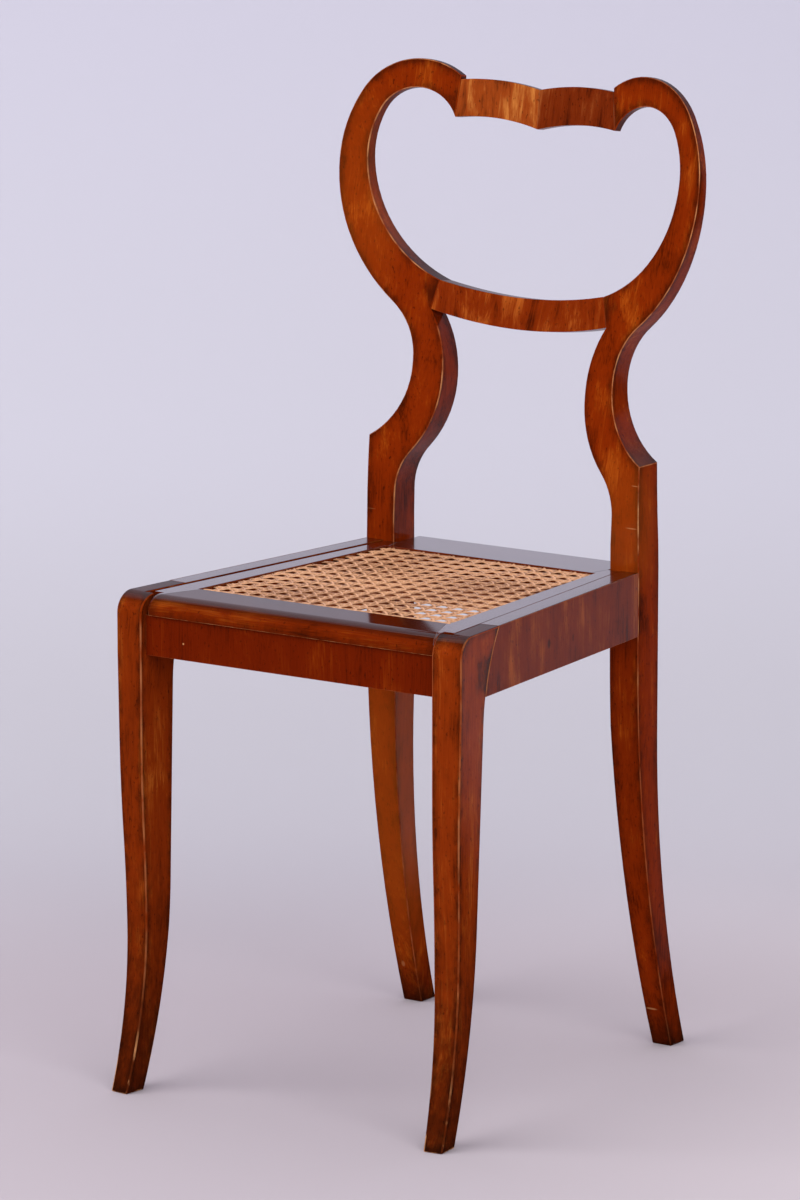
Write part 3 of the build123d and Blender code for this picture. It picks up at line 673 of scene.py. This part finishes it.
class CHAIR_OT_seat_frame(bpy.types.Operator):
    """Polish the four members of the drop-in seat frame"""

    bl_idname = "chair.seat_frame"
    bl_label = "Seat frame"

    def execute(self, context):
        wood = context.scene.chair_wood
        grains = {"front": ALONG_X, "back": ALONG_X, "left": ALONG_Y, "right": ALONG_Y}
        for seed, (side, grain) in enumerate(grains.items(), 61):
            coat, gloss, wear_and_highlight = (0.85, 0.0, 0.8) if side == "front" else (1.0, 0.3, 0.0)
            shared = {"tone": (0.74, 0.68, 0.6), "cloud": 1.0, "coat": coat, "gloss": gloss}
            # The arrises carry wear and a painted highlight
            edges = {"wear_and_highlight": wear_and_highlight, "facing": FRONT_UNDERSIDE}
            polish(f"seat_frame_{side}", "walnut", grain, seed, wood.joint, shared, {"edge_darkening": 0.5}, edges)
        return {"FINISHED"}


def weave_height(position, keys):
    """Height of a strand at a position between crossings, given as (position, height) pairs."""
    if position <= keys[0][0]:
        return keys[0][1]
    for (start, first), (end, second) in zip(keys, keys[1:]):
        if position <= end:
            turn = (1 - math.cos(math.pi * (position - start) / (end - start))) / 2
            return first + (second - first) * turn
    return keys[-1][1]


def pair_keys(reach, which, gap, rise):
    """Crossings of one strand of a pair, over and under by turns, out to a reach in meshes."""
    keys = []
    for mesh in range(-math.ceil(reach) - 1, math.ceil(reach) + 1):
        keys.append((mesh, 0.0))
        for other, side in enumerate((-gap, gap)):
            over = (which + other) % 2 == 1
            keys.append((mesh + 0.5 + side, rise if over else -rise))
    return keys


def spaced(start, end):
    """Places along a strand, close enough together for smooth bends."""
    steps = max(2, int((end - start) * STEPS_PER_MESH))
    return [start + (end - start) * i / steps for i in range(steps + 1)]


def woven_strands(front, rear, depth, gap, rise, diagonal_rise):
    """Strands as lists of (across, back, height), for half widths and half a depth in meshes."""

    def half_at(back):
        return front + (back + depth) / (2 * depth) * (rear - front)

    columns, rows = math.ceil(front), math.ceil(depth)
    strands = []
    for column in range(-columns - 1, columns + 1):
        for which, side in enumerate((-gap, gap)):
            across = column + 0.5 + side
            if abs(across) <= front - PAIR_ROOM:
                end = depth
                if abs(across) > rear:
                    end = (front - abs(across)) / (front - rear) * 2 * depth - depth
                keys = pair_keys(depth, which, gap, rise)
                strands.append([(across, back, weave_height(back, keys)) for back in spaced(-depth, end)])
    for row in range(-rows - 1, rows + 1):
        for which, side in enumerate((-gap, gap)):
            back = row + 0.5 + side
            if abs(back) <= depth - PAIR_ROOM:
                reach = half_at(back)
                keys = pair_keys(reach, which, gap, rise)
                places = spaced(-reach, reach)
                strands.append([(across, back, -weave_height(across, keys)) for across in places])
    count = columns + rows + 1
    for slope in (1, -1):
        for start in range(-count, count + 1):
            strand = []
            for back in spaced(-depth, depth):
                across = slope * back + start + 0.5
                if abs(across) <= half_at(back) - DIAGONAL_ROOM:
                    height = -slope * diagonal_rise * math.cos(2 * math.pi * back)
                    strand.append((across, back, height))
            if len(strand) >= FEWEST_DIAGONAL_POINTS:
                strands.append(strand)
    return strands


def add_strand(bm, tone_and_shade_layer, path, width, thickness, tone):
    """Sweep a half-round strand of cane along a path of points, darker with painted shade towards its two
    edges.
    """
    profile = ((-0.5, -0.5), (-0.42, 0.15), (-0.2, 0.5), (0.2, 0.5), (0.42, 0.15), (0.5, -0.5))
    rings = []
    for index, point in enumerate(path):
        ahead = path[min(index + 1, len(path) - 1)] - path[max(index - 1, 0)]
        across = Vector((-ahead.y, ahead.x, 0.0)).normalized()
        up = across.cross(ahead.normalized()) * -1
        ring = [bm.verts.new(point + across * (x * width) + up * (z * thickness)) for x, z in profile]
        for vert, (x, z) in zip(ring, profile):
            # Painted shade: the tone darkens towards the strand's edges
            vert[tone_and_shade_layer] = tone * STRAND_BROWN + abs(x) * EDGE_SHADE + MIDDLE_BROWN
        rings.append(ring)
    for ring, following in zip(rings, rings[1:]):
        for i in range(len(profile)):
            j = (i + 1) % len(profile)
            bm.faces.new((ring[i], ring[j], following[j], following[i]))
    bm.faces.new(rings[0])
    bm.faces.new(tuple(reversed(rings[-1])))


class CHAIR_OT_cane(bpy.types.Operator):
    """Weave the cane: pairs of strands both ways, and two sets of diagonals"""

    bl_idname = "chair.cane"
    bl_label = "Woven cane"

    def execute(self, context):
        cane = context.scene.chair_cane
        pitch, thickness = cane.pitch, cane.thickness
        low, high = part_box("cane_panel")
        points = [vertex.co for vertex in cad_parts["cane_panel"].data.vertices]
        edge = 1e-5
        middle_x, middle_y = (low.x + high.x) / 2, (low.y + high.y) / 2
        front = max(point.x for point in points if point.y < low.y + edge) - middle_x
        rear = max(point.x for point in points if point.y > high.y - edge) - middle_x
        depth = (high.y - low.y) / 2
        level = (low.z + high.z) / 2 + thickness
        lowest = low.z + thickness / 2
        sizes = [size / pitch for size in (front, rear, depth, cane.pair / 2)]
        strands = woven_strands(*sizes, thickness * PAIR_RISE, thickness * DIAGONAL_RISE)
        bm = bmesh.new()
        tone_and_shade_layer = bm.verts.layers.float.new("strand_tone_and_shade")
        for number, strand in enumerate(strands, 1):
            # An uneven but repeatable tone from strand to strand
            tone = 0.5 + 0.5 * math.sin(number * 12.9898 + 4.1414)
            path = []
            for across, back, height in strand:
                place = (middle_x + across * pitch, middle_y + back * pitch, max(level + height, lowest))
                path.append(Vector(place))
            if len(path) >= FEWEST_PAIR_POINTS:
                add_strand(bm, tone_and_shade_layer, path, cane.width, thickness, tone)
        bmesh.ops.recalc_face_normals(bm, faces=bm.faces)
        woven = add_mesh("woven_cane", bm)
        woven.data.materials.append(rattan("split rattan cane"))
        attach(woven, "seat")
        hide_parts("cane_panel")
        return {"FINISHED"}


def paper(stage, ahead, right):
    """Matt backdrop paper: pale and without shine, a little warmer on the floor, and graded with painted
    light and shade.

    In the polish only the paper behind the chair is mirrored, and the rest of the room is dark.
    """
    material, tree, where = new_material("matt backdrop paper")
    depth = put(tree, VECTOR, where, ahead, operation="DOT_PRODUCT")
    side = put(tree, VECTOR, where, right, operation="DOT_PRODUCT")
    height = put(tree, "ShaderNodeSeparateXYZ", where, output="Z")
    # Painted light and shade: the paper is lighter to the right of the chair and grows lighter from the floor
    # round the bend to the top of the backdrop
    # Where each colour begins and where it has taken over, in metres
    layers = (
        (side, -0.1, 0.6, stage.floor_right_lit),
        (depth, 0.2, 1.1, stage.foot),
        (height, 0.05, 0.35, stage.wall),
        (height, 0.3, 0.9, stage.top),
    )
    shade = stage.floor
    for place, start, end, tint in layers:
        share = put(tree, RANGE, place, start, end, **SOFT)
        shade = put(tree, MIX, share, shade, tint, **COLOUR)
    off_line = put(tree, MATH, side, operation="ABSOLUTE")
    wedge = put(tree, MATH, off_line, -WEDGE_SLOPE, depth, operation="MULTIPLY_ADD")
    outside = put(tree, RANGE, wedge, *WEDGE_EDGE, **SOFT)
    close = put(tree, VECTOR, where, operation="LENGTH")
    close = put(tree, RANGE, close, *CLOSE_FLOOR, **SOFT)
    hidden = put(tree, MATH, outside, close, operation="MAXIMUM")
    mirrored = put(tree, "ShaderNodeLightPath", output="Is Glossy Ray")
    hidden = put(tree, MATH, mirrored, hidden, operation="MULTIPLY")
    shade = put(tree, MIX, hidden, shade, stage.studio, **COLOUR)
    surface = {"Base Color": shade, "Roughness": 0.9, "Specular IOR Level": 0.1}
    matt = put(tree, "ShaderNodeBsdfPrincipled", named=surface)
    clear = put(tree, "ShaderNodeBsdfTransparent")
    rear = put(tree, "ShaderNodeNewGeometry", output="Backfacing")
    shader = put(tree, "ShaderNodeMixShader", rear, matt, clear)
    put(tree, "ShaderNodeOutputMaterial", shader)
    return material


def paper_sweep(stage, ahead, right):
    """A sheet of paper that lies on the floor and bends up behind the chair."""
    steps = 24
    profile = [(-stage.before, 0.0), (-2.0, 0.0), (0.0, 0.0), (stage.behind, 0.0)]
    for step in range(1, steps + 1):
        turn = math.pi / 2 * step / steps
        profile.append((stage.behind + stage.bend * math.sin(turn), stage.bend * (1 - math.cos(turn))))
    profile.append((stage.behind + stage.bend, stage.tall))
    bm = bmesh.new()
    lines = []
    for depth, height in profile:
        base = ahead * depth + Vector((0, 0, height - stage.below))
        lines.append([bm.verts.new(base + right * side) for side in (-stage.half, 0.0, stage.half)])
    for line, following in zip(lines, lines[1:]):
        for i in range(2):
            bm.faces.new((line[i], line[i + 1], following[i + 1], following[i]))
    return add_mesh("paper_sweep", bm)


class CHAIR_OT_stage(bpy.types.Operator):
    """Lay the paper floor and backdrop, and set the lights and the camera"""

    bl_idname = "chair.stage"
    bl_label = "Stage"

    def execute(self, context):
        scene = context.scene
        stage = scene.chair_stage
        ahead = Vector((-math.sin(stage.azimuth), math.cos(stage.azimuth), 0.0))
        right = Vector((math.cos(stage.azimuth), math.sin(stage.azimuth), 0.0))
        sweep = paper_sweep(stage, ahead, right)
        sweep.data.materials.append(paper(stage, ahead, right))
        self.lights(scene)
        self.world(scene)
        self.camera(scene, ahead)
        scene.view_settings.view_transform = "Standard"
        return {"FINISHED"}

    def lights(self, scene):
        """Three large soft lamps; only the top one is mirrored in the polish."""
        # Place, size and power of each lamp
        lamps = {
            "key": ((-1.7, -2.7, 2.6), 3.6, 112.0),
            "fill": ((2.8, -1.9, 2.2), 3.0, 75.0),
            "top": ((0.2, 0.3, 3.4), 3.4, 32.0),
        }
        target = Vector((0.0, 0.0, 0.45))
        for name, (place, size, power) in lamps.items():
            data = bpy.data.lights.new(name, "AREA")
            data.energy = power
            data.size = size
            lamp = bpy.data.objects.new(name, data)
            lamp.location = place
            lamp.visible_camera = False
            lamp.visible_glossy = name == "top"
            lamp.rotation_euler = (target - Vector(place)).to_track_quat("-Z", "Y").to_euler()
            scene.collection.objects.link(lamp)

    def world(self, scene):
        """Even light from all round, which the polish mirrors as a dark room."""
        stage = scene.chair_stage
        scene.world = bpy.data.worlds.new("studio")
        scene.world.use_nodes = True
        tree = scene.world.node_tree
        tree.nodes.clear()
        mirrored = put(tree, "ShaderNodeLightPath", output="Is Glossy Ray")
        shade = put(tree, MIX, mirrored, stage.sky, stage.studio, **COLOUR)
        sky = put(tree, "ShaderNodeBackground", named={"Color": shade, "Strength": 0.40})
        put(tree, "ShaderNodeOutputWorld", sky)

    def camera(self, scene, ahead):
        """A long lens at the photo's angle."""
        stage = scene.chair_stage
        data = bpy.data.cameras.new("camera")
        data.sensor_fit = "VERTICAL"
        data.sensor_height = 36.0
        data.lens = stage.lens
        data.clip_end = 60.0
        camera = bpy.data.objects.new("camera", data)
        view = ahead * math.cos(stage.elevation) - Vector((0.0, 0.0, math.sin(stage.elevation)))
        camera.location = stage.camera
        camera.rotation_euler = view.to_track_quat("-Z", "Y").to_euler()
        scene.collection.objects.link(camera)
        scene.camera = camera


OPERATORS = (
    CHAIR_OT_posts,
    CHAIR_OT_crest,
    CHAIR_OT_stay,
    CHAIR_OT_legs,
    CHAIR_OT_rails,
    CHAIR_OT_seat_frame,
    CHAIR_OT_cane,
    CHAIR_OT_stage,
)


class CHAIR_PT_panel(bpy.types.Panel):
    """Buttons for each group of pieces"""

    bl_idname = "CHAIR_PT_panel"
    bl_label = "Balloon-back chair"
    bl_space_type = "VIEW_3D"
    bl_region_type = "UI"
    bl_category = "Chair"

    def draw(self, context):
        for operator in OPERATORS:
            self.layout.operator(operator.bl_idname)


SETTINGS = {"chair_wood": ChairWood, "chair_cane": ChairCane, "chair_stage": ChairStage}


def register():
    """Add the settings, the operators and the panel to Blender."""
    for group in SETTINGS.values():
        bpy.utils.register_class(group)
    for name, group in SETTINGS.items():
        setattr(bpy.types.Scene, name, bpy.props.PointerProperty(type=group))
    for operator in OPERATORS:
        bpy.utils.register_class(operator)
    bpy.utils.register_class(CHAIR_PT_panel)


def unregister():
    """Take them out again."""
    bpy.utils.unregister_class(CHAIR_PT_panel)
    for operator in reversed(OPERATORS):
        bpy.utils.unregister_class(operator)
    for name in SETTINGS:
        delattr(bpy.types.Scene, name)
    for group in SETTINGS.values():
        bpy.utils.unregister_class(group)


def main():
    """Finish the chair piece by piece."""
    register()
    for operator in OPERATORS:
        group, name = operator.bl_idname.split(".")
        getattr(getattr(bpy.ops, group), name)()


if __name__ == "__main__":
    main()
